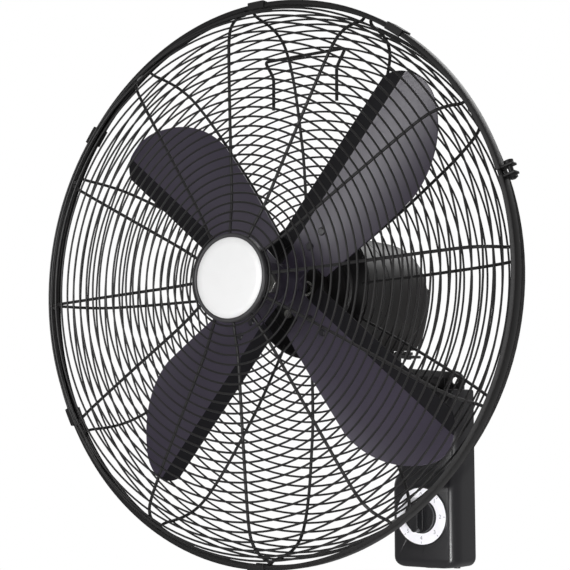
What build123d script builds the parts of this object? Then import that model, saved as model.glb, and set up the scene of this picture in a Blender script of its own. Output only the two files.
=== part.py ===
"""Wall mounted fan: caged four-blade fan on an oscillating, tilting neck over a switch box.

Millimetres, +Z up. The wall is the plane y = 0, the fan blows towards -Y, and the origin is the
centre of the four wall screw holes. Sizes called "depth" run backwards from the plane of the
guard rim, so a depth turns into y through the function at().
"""
import os
from math import asin, cos, degrees, hypot, pi, radians, sin, tan

from build123d import *

os.makedirs("parts", exist_ok=True)

# ---------------------------------------------------------------- driving dimensions
# Place of the fan on its wall bracket
axis_height = 169.0         # fan axis above the centre of the wall holes
rim_stand_off = 370.0       # wall to the plane of the guard rim
swivel_stand_off = 125.0    # wall to the vertical swivel axis
running_gap = 0.05          # radial play of a turning fit
seat_gap = 0.3              # air left between parts that pass each other

# Guard: two wire cages gripped by one hoop
guard_radius = 285.0
front_face_depth = -47.0    # flat face of the front cage
rear_face_depth = 88.0      # back of the rear cage, on the motor
spoke_count = 12
spoke_wire = 3.6
ring_wire = 2.4
ring_pitch = 19.0           # every second wire of the real 9.5 mm spacing
coarse_ring_radius = 150.0  # rings inside this have a corner at each spoke only
rim_wire = 3.4
centre_plate_radius = 72.0
centre_plate = 2.0
hoop_width = 13.0
hoop_sheet = 1.4
hoop_lip = 5.0
hoop_joint_angle = 17.0
clip_angles = (55.0, 90.0, 142.0, 208.0, 270.0)
clip_length = 20.0
clip_sheet = 1.6

# Badge on the front cage
badge_radius = 40.0
badge_rim = 4.0
badge_thickness = 3.0

# Carrying handle, a bent wire on the rear cage
handle_wire = 4.0
handle_foot_drop = 92.0     # its feet below the top of the hoop
handle_rise = 56.0
handle_foot_half = 40.0
handle_top_half = 51.0

# Motor
motor_radius = 62.0
motor_front_depth = 90.0
motor_split_depth = 150.0
motor_rear_depth = 238.0
motor_wall = 3.0
motor_nose_radius = 48.0
motor_shoulder = 14.0
motor_round = 12.0          # rounding of the rear edge
boss_radius = 24.0
boss_reach = 8.0
guard_screw_circle = 36.0
guard_screw_radius = 2.5
bearing_radius = 16.0
bearing_width = 10.0
stator_bore = 39.0
stator_length = 70.0
rotor_gap = 1.0
rotor_length = 72.0
shaft_radius = 6.0
through_screw_radius = 2.0
through_screw_circle = 44.0
through_screw_angles = (30.0, 150.0, 210.0, 330.0)
screw_head_height = 3.0

# Rotor and blades
hub_depth = 36.0            # plane of the blade rivets
hub_radius = 21.0
hub_length = 34.0
blade_count = 4
blade_tip_radius = 254.0
blade_root_radius = 40.0
blade_root_leading = 33.0   # breadth ahead of the arm line at the root
blade_broad_radius = 160.0  # where it is broadest
blade_broad_leading = 55.0
blade_shoulder = 10.0       # breadth ahead of the arm line where the tip begins
blade_pitch = 6.0
blade_rake = 5.2            # the crease leans this much towards the trailing side
blade_leading = 72.0        # flat chord ahead of the arm line
blade_trailing = 11.0       # flat chord behind it, up to the crease
blade_camber = 4.0
blade_sheet = 1.6
blade_lip = 18.0            # flat strip along the trailing edge
blade_lip_bend = 3.0        # back from the chord
arm_sheet = 2.5
arm_width = 26.0
arm_tip_radius = 82.0
rivet_radii = (52.0, 72.0)
rivet_radius = 2.4
rivet_head = 4.2
rivet_head_height = 1.6
hub_nut_flats = 19.0
hub_nut_height = 10.0

# Gearbox and oscillation
gearbox_half_width = 34.0
gearbox_foot_half = 16.0    # it draws in towards its foot
gearbox_length = 47.0
gearbox_edge = 4.0
gearbox_bottom = -57.0      # below the fan axis
gearbox_top = 14.0          # above the fan axis
gearbox_lid = 8.0
swivel_pin_radius = 6.0
bush_wall = 2.0
swivel_boss_radius = 8.0
crank_offset = 31.0         # swivel axis to crank axis
crank_throw = 18.0          # swings the head 35 degrees each way
crank_pin_radius = 2.5
crank_shaft_radius = 3.5
crank_thickness = 3.0
slot_clearance = 1.15       # each side of the crank pin
clutch_stem_radius = 3.0
clutch_knob_radius = 8.0
clutch_travel = 6.0

# Neck and wall bracket
pivot_height = 77.0         # tilt axis above the centre of the wall holes
neck_width = 21.0
neck_lug_radius = 13.0
neck_barrel_radius = 10.5
neck_flange_radius = 16.0
neck_flange = 6.0
stay_sheet = 3.0
stay_half_width = 9.0
stay_screw_radius = 1.5
stay_screw_offset = 12.5
neck_top = 104.0
set_screw_height = 91.0
set_screw_radius = 2.5
ear_thickness = 6.0
ear_radius = 14.0
tilt_bolt_radius = 4.0
arm_top = 91.0
arm_thickness = 8.0
plate_thickness = 4.0
plate_half_width = 36.0
wall_hole_spacing_x = 40.0
wall_hole_spacing_z = 160.0
wall_hole_radius = 4.25
lug_radius = 11.5

# Switch box
box_half_width = 43.0
box_top = 69.0
box_bottom = -137.0
box_depth = 51.0
neck_box_depth = 38.0       # the slimmer upper half
neck_box_inset = 3.0
shoulder_front = -35.0
shoulder_rear = -14.0
box_wall = 2.5
box_corner = 11.0
box_edge = 5.0
dial_height = -78.0
dial_radius = 36.0
dial_bore = 9.0
dial_thickness = 1.2
knob_radius = 19.0
knob_skirt = 5.0
knob_height = 17.0
knob_grip_width = 9.0
switch_shaft_radius = 3.0
switch_neck_radius = 5.5
switch_size = 34.0
switch_depth = 20.0

# ---------------------------------------------------------------- planes and places
rim_y = -rim_stand_off
swivel_y = -swivel_stand_off
fan_axis = Axis((0, 0, axis_height), (0, 1, 0))


def radial_section(angle):
    """Half section through the fan axis: x runs back along the axis, y outwards at the angle."""
    turn = radians(angle)
    return Plane(origin=(0, 0, axis_height), x_dir=(0, 1, 0), z_dir=(sin(turn), 0, -cos(turn)))


half_section = radial_section(90)


def at(depth):
    """The y of a depth behind the guard rim."""
    return rim_y + depth


def facing(y, x=0.0, z=axis_height):
    """A plane that looks at the room, its normal towards -Y."""
    return Plane(origin=(x, y, z), x_dir=(1, 0, 0), z_dir=(0, -1, 0))


def out_at(y, angle, radius):
    """A plane that looks at the room at a polar place round the fan axis, its x outwards."""
    turn = radians(angle)
    place = (radius * cos(turn), y, axis_height + radius * sin(turn))
    return Plane(origin=place, x_dir=(cos(turn), 0, sin(turn)), z_dir=(0, -1, 0))


def along_rim(angle, radius):
    """A plane square to the rim at a polar place, its normal along the rim and its x backwards."""
    turn = radians(angle)
    place = (radius * cos(turn), rim_y, axis_height + radius * sin(turn))
    return Plane(origin=place, x_dir=(0, 1, 0), z_dir=(-sin(turn), 0, cos(turn)))


def level(z, x=0.0, y=0.0):
    """A level plane, its normal up."""
    return Plane(origin=(x, y, z), x_dir=(1, 0, 0), z_dir=(0, 0, 1))


def keep(builder, label):
    """Names a finished piece and writes it."""
    builder.part.label = label
    export_step(builder.part, f"parts/{label}.step")


def turned(*section, axis=fan_axis, plane=half_section):
    """A turned solid: its half section lies in the plane, first along the axis, then outwards."""
    with BuildPart() as solid:
        with BuildSketch(plane):
            with BuildLine():
                Polyline(*section, close=True)
            make_face()
        revolve(axis=axis)
    return solid


def turned_ring(y_front, y_back, inner, outer):
    """A plain ring about the fan axis."""
    return turned((y_front, inner), (y_back, inner), (y_back, outer), (y_front, outer))


# ---------------------------------------------------------------- guard cages
rim_radius = guard_radius - hoop_sheet - seat_gap - rim_wire / 2
rim_offset = hoop_width / 2 - hoop_sheet - rim_wire / 2 - seat_gap
mouth_radius = guard_radius - hoop_lip - spoke_wire


def cage_profile(inner_radius, inner_depth, face_depth, knees):
    """Path of a spoke, (radius, depth) from the centre piece out through the mouth of the hoop."""
    side = 1 if face_depth > 0 else -1
    bends = [(mouth_radius * across, face_depth * along) for across, along in knees]
    rim_place = (rim_radius, side * rim_offset)
    return [(inner_radius, inner_depth), *bends, (mouth_radius, side * rim_offset), rim_place]


front_profile = cage_profile(
    badge_radius + badge_rim / 2, front_face_depth, front_face_depth,
    [(0.83, 1.0), (0.90, 0.93), (0.945, 0.72), (0.98, 0.38)])
rear_profile = cage_profile(
    centre_plate_radius - 6, rear_face_depth, rear_face_depth,
    [(0.47, 1.0), (0.62, 0.93), (0.775, 0.85), (0.905, 0.715), (0.96, 0.555), (0.988, 0.32)])


def points_along(profile, pitch):
    """Places of the ring wires, evenly spaced along a spoke up to the mouth of the hoop."""
    places = []
    to_next = pitch
    for (r0, d0), (r1, d1) in zip(profile[:-2], profile[1:-1]):
        run = hypot(r1 - r0, d1 - d0)
        while to_next < run:
            share = to_next / run
            places.append((r0 + (r1 - r0) * share, d0 + (d1 - d0) * share))
            to_next += pitch
        to_next -= run
    return places


def ring_wire_solid(radius, depth, side):
    """One ring wire of three-sided section, its flat side bedded in the spokes."""
    corners = spoke_count if radius < coarse_ring_radius else 2 * spoke_count
    proud = side * (spoke_wire - ring_wire) / 2
    base = facing(at(depth + proud - side * ring_wire / 2))
    crest = facing(at(depth + proud + side * ring_wire / 2))
    with BuildPart() as ring:
        for edge, mode in ((ring_wire / 2, Mode.ADD), (-ring_wire / 2, Mode.SUBTRACT)):
            with BuildSketch(base):
                RegularPolygon(radius + edge, corners)
            with BuildSketch(crest):
                RegularPolygon(radius, corners)
            loft(ruled=True, mode=mode)
    return ring.part


def rim_wire_solid(depth):
    """The thick end wire of a cage, which the hoop grips."""
    with BuildPart() as rim:
        with BuildSketch(facing(at(depth) + rim_wire / 2)):
            RegularPolygon(rim_radius + rim_wire / 2, 4 * spoke_count)
            RegularPolygon(rim_radius - rim_wire / 2, 4 * spoke_count, mode=Mode.SUBTRACT)
        extrude(amount=rim_wire)
    return rim.part


def spoke_solid(profile):
    """One spoke wire, bent along the profile in the half section above the fan axis."""
    with BuildPart() as spoke:
        with BuildSketch(half_section):
            with BuildLine():
                Polyline(*[(at(depth), radius) for radius, depth in profile])
            trace(line_width=spoke_wire)
        extrude(amount=spoke_wire / 2, both=True)
    return spoke.part


def cage(profile, centre):
    """Spokes, ring wires, end wire and centre piece, welded into one."""
    side = 1 if profile[0][1] > 0 else -1
    spoke = spoke_solid(profile)
    spokes = [spoke.rotate(fan_axis, i * 360 / spoke_count) for i in range(spoke_count)]
    rings = [ring_wire_solid(r, d, side) for r, d in points_along(profile, ring_pitch)]
    with BuildPart() as welded:
        add(centre)
        add([rim_wire_solid(side * rim_offset), *spokes, *rings])
    return welded


# The front spokes end on a flat ring that carries the badge
badge_seat = turned_ring(
    at(front_face_depth) - spoke_wire / 2, at(front_face_depth) + spoke_wire / 2,
    badge_radius - badge_rim, badge_radius + badge_rim)
front_guard = cage(front_profile, badge_seat.part)
keep(front_guard, "front_guard")

# The rear spokes end on a plate that is screwed to the motor's nose
plate_y = at(motor_front_depth)
with BuildPart() as centre_disc:
    with BuildSketch(facing(plate_y)):
        Circle(centre_plate_radius)
        Circle(boss_radius + seat_gap, mode=Mode.SUBTRACT)
    extrude(amount=centre_plate)
rear_guard = cage(rear_profile, centre_disc.part)
with rear_guard:
    with Locations(facing(plate_y)):
        with PolarLocations(guard_screw_circle, 4, start_angle=45):
            Hole(guard_screw_radius, depth=2 * centre_plate, mode=Mode.SUBTRACT)
keep(rear_guard, "rear_guard")

# Channel hoop, open at its joint, with an ear on each end
joint_gap = 6.0
ear_sheet = 2.5
ear_reach = 13.0
joint_screw_radius = 2.5
half_hoop = hoop_width / 2
with BuildPart() as guard_hoop:
    with BuildSketch(half_section):
        with BuildLine():
            Polyline(
                (rim_y - half_hoop, guard_radius - hoop_lip), (rim_y - half_hoop, guard_radius),
                (rim_y + half_hoop, guard_radius), (rim_y + half_hoop, guard_radius - hoop_lip),
                (rim_y + half_hoop - hoop_sheet, guard_radius - hoop_lip),
                (rim_y + half_hoop - hoop_sheet, guard_radius - hoop_sheet),
                (rim_y - half_hoop + hoop_sheet, guard_radius - hoop_sheet),
                (rim_y - half_hoop + hoop_sheet, guard_radius - hoop_lip), close=True)
        make_face()
    revolve(axis=fan_axis)
    joint = out_at(rim_y, hoop_joint_angle, guard_radius)
    with BuildSketch(joint):
        Rectangle(4 * hoop_lip, joint_gap)
    extrude(amount=hoop_width, both=True, mode=Mode.SUBTRACT)
    with BuildSketch(joint):
        for end in (1, -1):
            with Locations((-hoop_sheet, end * (joint_gap + ear_sheet) / 2)):
                Rectangle(ear_reach, ear_sheet, align=(Align.MIN, Align.CENTER))
    extrude(amount=half_hoop - hoop_sheet, both=True)
    joint_axis = along_rim(hoop_joint_angle, guard_radius + ear_reach / 2)
    ear_outside = joint_gap / 2 + ear_sheet
    with BuildSketch(joint_axis):
        Circle(joint_screw_radius)
    extrude(amount=2 * ear_outside, both=True, mode=Mode.SUBTRACT)
keep(guard_hoop, "guard_hoop")

# Screw and nut that draw the hoop tight
with BuildPart() as hoop_screw:
    with BuildSketch(joint_axis.offset(-ear_outside - screw_head_height - 1)):
        Circle(joint_screw_radius)
    extrude(amount=2 * ear_outside + screw_head_height + 1)
    with BuildSketch(joint_axis.offset(ear_outside)):
        Circle(joint_screw_radius * 1.8)
    extrude(amount=screw_head_height)
keep(hoop_screw, "hoop_screw")
with BuildPart() as hoop_nut:
    with BuildSketch(joint_axis.offset(-ear_outside)):
        RegularPolygon(joint_screw_radius * 1.8, 6)
        Circle(joint_screw_radius, mode=Mode.SUBTRACT)
    extrude(amount=-screw_head_height)
keep(hoop_nut, "hoop_nut")

# Spring clips that straddle the hoop
clip_arc = degrees(clip_length / guard_radius)
half_clip = half_hoop + clip_sheet
clip_foot = guard_radius - hoop_lip - 1
with BuildPart() as guard_clips:
    for angle in clip_angles:
        with BuildSketch(radial_section(angle - clip_arc / 2)):
            with BuildLine():
                Polyline(
                    (rim_y - half_clip, clip_foot), (rim_y - half_clip, guard_radius + clip_sheet),
                    (rim_y + half_clip, guard_radius + clip_sheet), (rim_y + half_clip, clip_foot),
                    (rim_y + half_hoop, clip_foot), (rim_y + half_hoop, guard_radius),
                    (rim_y - half_hoop, guard_radius), (rim_y - half_hoop, clip_foot), close=True)
            make_face()
        revolve(axis=fan_axis, revolution_arc=-clip_arc)
keep(guard_clips, "guard_clips")

# Carrying handle: a bent wire whose feet are welded across a ring wire of the rear cage
weld_bite = 0.15
handle_foot_height = guard_radius - handle_foot_drop
handle_top_height = handle_foot_height + handle_rise
foot_reach = hypot(handle_foot_half, handle_foot_height)
foot_radius, foot_depth = min(
    points_along(rear_profile, ring_pitch), key=lambda place: abs(place[0] - foot_reach))
handle_y = at(foot_depth) + spoke_wire / 2 - weld_bite + handle_wire / 2 * cos(pi / 6)
handle_knee_height = handle_foot_height + 0.65 * handle_rise
with BuildPart() as carry_handle:
    with BuildLine():
        Polyline(
            (-handle_foot_half, handle_y, axis_height + handle_foot_height),
            (-handle_foot_half, handle_y, axis_height + handle_knee_height),
            (-handle_top_half, handle_y, axis_height + handle_top_height),
            (handle_top_half, handle_y, axis_height + handle_top_height),
            (handle_foot_half, handle_y, axis_height + handle_knee_height),
            (handle_foot_half, handle_y, axis_height + handle_foot_height))
    with BuildSketch(level(axis_height + handle_foot_height, -handle_foot_half, handle_y)):
        RegularPolygon(handle_wire / 2, 6)
    sweep(transition=Transition.RIGHT)
keep(carry_handle, "carry_handle")

# ---------------------------------------------------------------- badge
badge_back_y = at(front_face_depth) - spoke_wire / 2
badge_cup = turned(
    (badge_back_y, 0), (badge_back_y, badge_radius + badge_rim),
    (badge_back_y - badge_thickness, badge_radius + badge_rim),
    (badge_back_y - badge_thickness - 1, badge_radius + badge_rim / 2),
    (badge_back_y - badge_thickness, badge_radius), (badge_back_y - badge_thickness / 2, badge_radius),
    (badge_back_y - badge_thickness / 2, 0))
keep(badge_cup, "badge_cup")
with BuildPart() as badge_disc:
    with BuildSketch(facing(badge_back_y - badge_thickness / 2)):
        Circle(badge_radius)
    extrude(amount=badge_thickness / 2)
keep(badge_disc, "badge_disc")

# ---------------------------------------------------------------- motor
inner_radius = motor_radius - motor_wall
nose_y = at(motor_front_depth)
split_y = at(motor_split_depth)
rear_y = at(motor_rear_depth)
shaft_hole = shaft_radius + 2
front_bearing_y = nose_y - boss_reach + motor_wall - 1
rear_bearing_y = rear_y - motor_wall + 1 - bearing_width
front_shell_form = turned(
    (nose_y - boss_reach, shaft_hole), (nose_y - boss_reach, boss_radius - 2), (nose_y, boss_radius),
    (nose_y, motor_nose_radius), (nose_y + motor_shoulder, motor_radius), (split_y, motor_radius),
    (split_y, inner_radius), (nose_y + motor_shoulder + 1, inner_radius),
    (nose_y + motor_wall + 1, motor_nose_radius), (nose_y + motor_wall + 1, bearing_radius),
    (front_bearing_y, bearing_radius), (front_bearing_y, shaft_hole))
through_screw_tip = nose_y + 2
with BuildPart() as motor_front_shell:
    add(front_shell_form)
    for angle in through_screw_angles:
        with BuildSketch(out_at(through_screw_tip, angle, through_screw_circle)):
            Circle(through_screw_radius)
        extrude(amount=-2 * motor_wall, mode=Mode.SUBTRACT)
    for angle in range(45, 360, 90):
        with BuildSketch(out_at(nose_y, angle, guard_screw_circle)):
            Circle(guard_screw_radius)
        extrude(amount=-motor_wall, mode=Mode.SUBTRACT)
keep(motor_front_shell, "motor_front_shell")

rear_shell_form = turned(
    (split_y, motor_radius), (rear_y, motor_radius), (rear_y, shaft_hole),
    (rear_y - motor_wall + 1, shaft_hole),
    (rear_y - motor_wall + 1, bearing_radius), (rear_bearing_y, bearing_radius),
    (rear_bearing_y, bearing_radius + 4), (rear_y - motor_wall - 1, bearing_radius + 4),
    (rear_y - motor_wall - 1, motor_nose_radius), (rear_y - motor_shoulder, inner_radius),
    (split_y, inner_radius))
with BuildPart() as motor_rear_shell:
    add(rear_shell_form)
    fillet(motor_rear_shell.edges().group_by(Axis.Y)[-1].sort_by(SortBy.RADIUS)[-1], motor_round)
    for angle in through_screw_angles:
        with BuildSketch(out_at(rear_y, angle, through_screw_circle)):
            Circle(through_screw_radius + 0.2)
        extrude(amount=3 * motor_wall, both=True, mode=Mode.SUBTRACT)
keep(motor_rear_shell, "motor_rear_shell")

stator_y = (nose_y + rear_y) / 2
with BuildPart() as stator:
    with BuildSketch(facing(stator_y + stator_length / 2)):
        Circle(inner_radius)
        Circle(stator_bore, mode=Mode.SUBTRACT)
        for angle in through_screw_angles:
            with PolarLocations(through_screw_circle, 1, start_angle=angle):
                Circle(through_screw_radius + 0.2, mode=Mode.SUBTRACT)
    extrude(amount=stator_length)
keep(stator, "stator")

with BuildPart() as motor_through_screws:
    for angle in through_screw_angles:
        with BuildSketch(out_at(rear_y, angle, through_screw_circle)):
            Circle(through_screw_radius)
        extrude(amount=rear_y - through_screw_tip)
        with BuildSketch(out_at(rear_y, angle, through_screw_circle)):
            Circle(through_screw_radius * 1.8)
        extrude(amount=-screw_head_height)
keep(motor_through_screws, "motor_through_screws")

with BuildPart() as guard_screws:
    for angle in range(45, 360, 90):
        with BuildSketch(out_at(nose_y + motor_wall, angle, guard_screw_circle)):
            Circle(guard_screw_radius)
        extrude(amount=motor_wall + centre_plate)
        with BuildSketch(out_at(nose_y - centre_plate, angle, guard_screw_circle)):
            Circle(guard_screw_radius * 1.8)
        extrude(amount=screw_head_height)
keep(guard_screws, "guard_screws")

for name, start in (("front_bearing", front_bearing_y), ("rear_bearing", rear_bearing_y)):
    bearing = turned_ring(start, start + bearing_width, shaft_radius + running_gap, bearing_radius)
    keep(bearing, name)

# ---------------------------------------------------------------- shaft, rotor and blades
shaft_front_y = at(hub_depth) - hub_length / 2 - hub_nut_height + 2
worm_radius = shaft_radius - 1.5
worm_reach = 18.0
worm_end_y = rear_y + worm_reach
rotor_shaft = turned(
    (shaft_front_y, 0), (shaft_front_y, shaft_radius), (rear_y - 1, shaft_radius),
    (rear_y - 1, worm_radius), (worm_end_y, worm_radius), (worm_end_y, 0))
keep(rotor_shaft, "rotor_shaft")
rotor_core = turned_ring(
    stator_y - rotor_length / 2, stator_y + rotor_length / 2, shaft_radius, stator_bore - rotor_gap)
keep(rotor_core, "rotor_core")

rake = radians(blade_rake)
pitch = radians(blade_pitch)
skin_span = 1.1 * blade_tip_radius
blade_section = Plane(
    origin=(0, at(hub_depth), axis_height),
    x_dir=(0, 1, 0), z_dir=(cos(rake), 0, sin(rake)))


def on_chord(forward, rise):
    """A point of the blade's section: along the pitched chord to the rear edge, and behind it."""
    return (-forward * sin(pitch) + rise * cos(pitch), forward * cos(pitch) + rise * sin(pitch))


half_chord = (blade_leading + blade_trailing) / 2
camber_radius = (half_chord ** 2 + blade_camber ** 2) / (2 * blade_camber)
leading_point = on_chord(-blade_leading, -blade_camber)
crown_point = on_chord(blade_trailing - half_chord, 0)
camber_centre = on_chord(blade_trailing - half_chord, -camber_radius)
crease_point = on_chord(blade_trailing, -blade_camber)
lip_turn = radians(blade_lip_bend)
lip_point = on_chord(
    blade_trailing + blade_lip * cos(lip_turn), -blade_camber + blade_lip * sin(lip_turn))


def skin(near, far):
    """The curved sheet between two distances behind the blade's front face."""
    with BuildPart() as sheet:
        with BuildSketch(blade_section):
            for distance, mode in ((far, Mode.ADD), (near, Mode.SUBTRACT)):
                if distance > 0:
                    with BuildLine():
                        ThreePointArc(leading_point, crown_point, crease_point)
                        Line(crease_point, lip_point)
                        offset(amount=distance, side=Side.RIGHT)
                    make_face(mode=mode)
        extrude(amount=skin_span)
    return sheet.part


def on_skin(radius):
    """A plane square to the skin where the arm line meets its front, looking at the room."""
    across = -radius * sin(rake)
    along = radius * cos(rake)
    lean = asin((across - camber_centre[1]) / camber_radius)
    back = camber_centre[0] + camber_radius * cos(lean)
    place = blade_section.from_local_coords((back, across, along))
    forward = blade_section.x_dir * -cos(lean) - blade_section.y_dir * sin(lean)
    return Plane(origin=place, x_dir=blade_section.z_dir, z_dir=forward)


grip = blade_sheet + arm_sheet
rivet_planes = [on_skin(radius) for radius in rivet_radii]

# Plan of a blade, x outwards along its arm and y towards the trailing side
past_lip = blade_trailing + blade_lip + 3
leading_root = (blade_root_radius, -blade_root_leading)
broadest = (blade_broad_radius, -blade_broad_leading)
shoulder = (0.965 * blade_tip_radius, -blade_shoulder)
tip_corner = (0.985 * blade_tip_radius, past_lip)
trailing_corner = (0.885 * blade_tip_radius, past_lip + blade_tip_radius * tan(rake) - 4)
with BuildPart() as blade:
    add(skin(0, blade_sheet))
    with BuildSketch(facing(at(hub_depth))):
        with BuildLine():
            Line((blade_root_radius, past_lip + 6), leading_root)
            ThreePointArc(leading_root, (0.625 * blade_broad_radius, -0.82 * blade_broad_leading), broadest)
            ThreePointArc(broadest, (0.835 * blade_tip_radius, -0.745 * blade_broad_leading), shoulder)
            ThreePointArc(shoulder, (blade_tip_radius, 12), tip_corner)
            ThreePointArc(tip_corner, (0.955 * blade_tip_radius, past_lip + 10.5), trailing_corner)
            Line(trailing_corner, (blade_root_radius, past_lip + 6))
        make_face()
    extrude(amount=blade_leading, both=True, mode=Mode.INTERSECT)
    for plane in rivet_planes:
        with BuildSketch(plane):
            Circle(rivet_radius)
        extrude(amount=2 * grip, both=True, mode=Mode.SUBTRACT)
for number in range(blade_count):
    with BuildPart() as fan_blade:
        add(blade.part.rotate(fan_axis, -45 - number * 360 / blade_count))
    keep(fan_blade, f"fan_blade_{number + 1}")

with BuildPart() as hub_arm:
    add(skin(blade_sheet, blade_sheet + arm_sheet))
    with BuildSketch(facing(at(hub_depth))):
        with Locations(((arm_tip_radius - arm_width / 2) / 2, 0)):
            SlotOverall(arm_tip_radius + arm_width / 2, arm_width)
        with Locations((-arm_tip_radius, 0)):
            Rectangle(2 * arm_tip_radius, 2 * arm_width, mode=Mode.SUBTRACT)
    extrude(amount=blade_leading, both=True, mode=Mode.INTERSECT)
    for plane in rivet_planes:
        with BuildSketch(plane):
            Circle(rivet_radius)
        extrude(amount=2 * grip, both=True, mode=Mode.SUBTRACT)
hub_front_y = at(hub_depth) - hub_length / 2
with BuildPart() as blade_hub:
    with BuildSketch(facing(hub_front_y)):
        Circle(hub_radius)
    extrude(amount=-hub_length)
    for number in range(blade_count):
        add(hub_arm.part.rotate(fan_axis, -45 - number * 360 / blade_count))
    with BuildSketch(facing(hub_front_y)):
        Circle(shaft_radius)
    extrude(amount=hub_length, both=True, mode=Mode.SUBTRACT)
keep(blade_hub, "blade_hub")

with BuildPart() as blade_rivet:
    for plane in rivet_planes:
        with BuildSketch(plane.offset(-grip)):
            Circle(rivet_radius)
        extrude(amount=grip)
        for end, way in ((0.1, 1), (-grip - 0.1, -1)):
            with BuildSketch(plane.offset(end)):
                Circle(rivet_head)
            extrude(amount=way * rivet_head_height, taper=30)
with BuildPart() as blade_rivets:
    for number in range(blade_count):
        add(blade_rivet.part.rotate(fan_axis, -45 - number * 360 / blade_count))
keep(blade_rivets, "blade_rivets")

with BuildPart() as hub_nut:
    with BuildSketch(facing(hub_front_y)):
        RegularPolygon(hub_nut_flats / 2, 6, major_radius=False)
        Circle(shaft_radius, mode=Mode.SUBTRACT)
    extrude(amount=hub_nut_height - 2)
keep(hub_nut, "hub_nut")

# ---------------------------------------------------------------- gearbox on the motor's back
box_floor = axis_height + gearbox_bottom
lid_top = axis_height + gearbox_top
lid_floor = lid_top - gearbox_lid
stay_top = neck_top + stay_sheet
crank_y = swivel_y + crank_offset
pin_end = box_floor + 18
clutch_y = rear_y + 0.7 * gearbox_length
clutch_sink = 8.0
crank_socket = 12.0


def gearbox_slice(top, bottom):
    """A slice of the gearbox's form: upright flanks that draw in towards a narrow foot."""
    flank_end = 0.12 * gearbox_bottom
    with BuildPart() as block:
        with BuildSketch(facing(rear_y)):
            with BuildLine():
                Line((-gearbox_foot_half, gearbox_bottom), (gearbox_foot_half, gearbox_bottom))
                ThreePointArc(
                    (gearbox_foot_half, gearbox_bottom), (0.82 * gearbox_half_width, 0.55 * gearbox_bottom),
                    (gearbox_half_width, flank_end))
                Polyline(
                    (gearbox_half_width, flank_end), (gearbox_half_width, gearbox_top),
                    (-gearbox_half_width, gearbox_top), (-gearbox_half_width, flank_end))
                ThreePointArc(
                    (-gearbox_half_width, flank_end), (-0.82 * gearbox_half_width, 0.55 * gearbox_bottom),
                    (-gearbox_foot_half, gearbox_bottom))
            make_face()
            with Locations((0, (top + bottom) / 2)):
                Rectangle(3 * gearbox_half_width, top - bottom, mode=Mode.INTERSECT)
        extrude(amount=-gearbox_length)
    return block.part


with BuildPart() as gearbox_housing:
    add(gearbox_slice(gearbox_top - gearbox_lid, gearbox_bottom))
    rear_rim = gearbox_housing.faces().sort_by(Axis.Y)[-1].edges().sort_by(Axis.Z)[:-1]
    fillet(rear_rim, gearbox_edge)
    with BuildSketch(level(stay_top + seat_gap, 0, swivel_y)):
        Circle(swivel_boss_radius)
    extrude(amount=box_floor - stay_top)
    with BuildSketch(level(stay_top, 0, swivel_y)):
        Circle(swivel_pin_radius)
    extrude(amount=pin_end - stay_top, mode=Mode.SUBTRACT)
    with BuildSketch(level(box_floor, 0, crank_y)):
        Circle(crank_shaft_radius + running_gap)
    extrude(amount=crank_socket, mode=Mode.SUBTRACT)
    with BuildSketch(facing(rear_y)):
        Circle(worm_radius + 2 * seat_gap)
    extrude(amount=-worm_reach - 2, mode=Mode.SUBTRACT)
    with BuildSketch(level(lid_floor, 0, clutch_y)):
        Circle(clutch_stem_radius + running_gap)
    extrude(amount=-clutch_sink - 2, mode=Mode.SUBTRACT)
keep(gearbox_housing, "gearbox_housing")

lid_boss = 3.0
with BuildPart() as gearbox_cover:
    add(gearbox_slice(gearbox_top, gearbox_top - gearbox_lid))
    fillet(gearbox_cover.edges().filter_by(Axis.Z).group_by(Axis.Y)[-1], gearbox_edge)
    chamfer(gearbox_cover.edges().group_by(Axis.Z)[-1].group_by(Axis.Y)[1:], 2)
    with BuildSketch(level(lid_top, 0, clutch_y)):
        Circle(clutch_stem_radius + 4)
    extrude(amount=lid_boss)
    with BuildSketch(level(lid_floor, 0, clutch_y)):
        Circle(clutch_stem_radius + running_gap)
    extrude(amount=gearbox_lid + lid_boss, mode=Mode.SUBTRACT)
keep(gearbox_cover, "gearbox_cover")

with BuildPart() as clutch_knob:
    with BuildSketch(level(lid_floor - clutch_sink, 0, clutch_y)):
        Circle(clutch_stem_radius)
    extrude(amount=clutch_sink + gearbox_lid + lid_boss + 2)
    with BuildSketch(level(lid_top + lid_boss + seat_gap, 0, clutch_y)):
        Circle(clutch_knob_radius)
    extrude(amount=12)
    chamfer(clutch_knob.edges().group_by(Axis.Z)[-1], 2)
keep(clutch_knob, "clutch_knob")

pin_foot = set_screw_height - 4.5
groove_radius = swivel_pin_radius - 1.8
groove_half = set_screw_radius + seat_gap
swivel_section = Plane(origin=(0, swivel_y, 0), x_dir=(0, 1, 0), z_dir=(1, 0, 0))
with BuildPart() as swivel_pin:
    with BuildSketch(swivel_section):
        with BuildLine():
            Polyline(
                (0, pin_foot), (swivel_pin_radius, pin_foot),
                (swivel_pin_radius, set_screw_height - groove_half),
                (groove_radius, set_screw_height - groove_half),
                (groove_radius, set_screw_height + groove_half),
                (swivel_pin_radius, set_screw_height + groove_half),
                (swivel_pin_radius, pin_end), (0, pin_end), close=True)
        make_face()
    revolve(axis=Axis((0, swivel_y, 0), (0, 0, 1)))
keep(swivel_pin, "swivel_pin")

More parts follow.
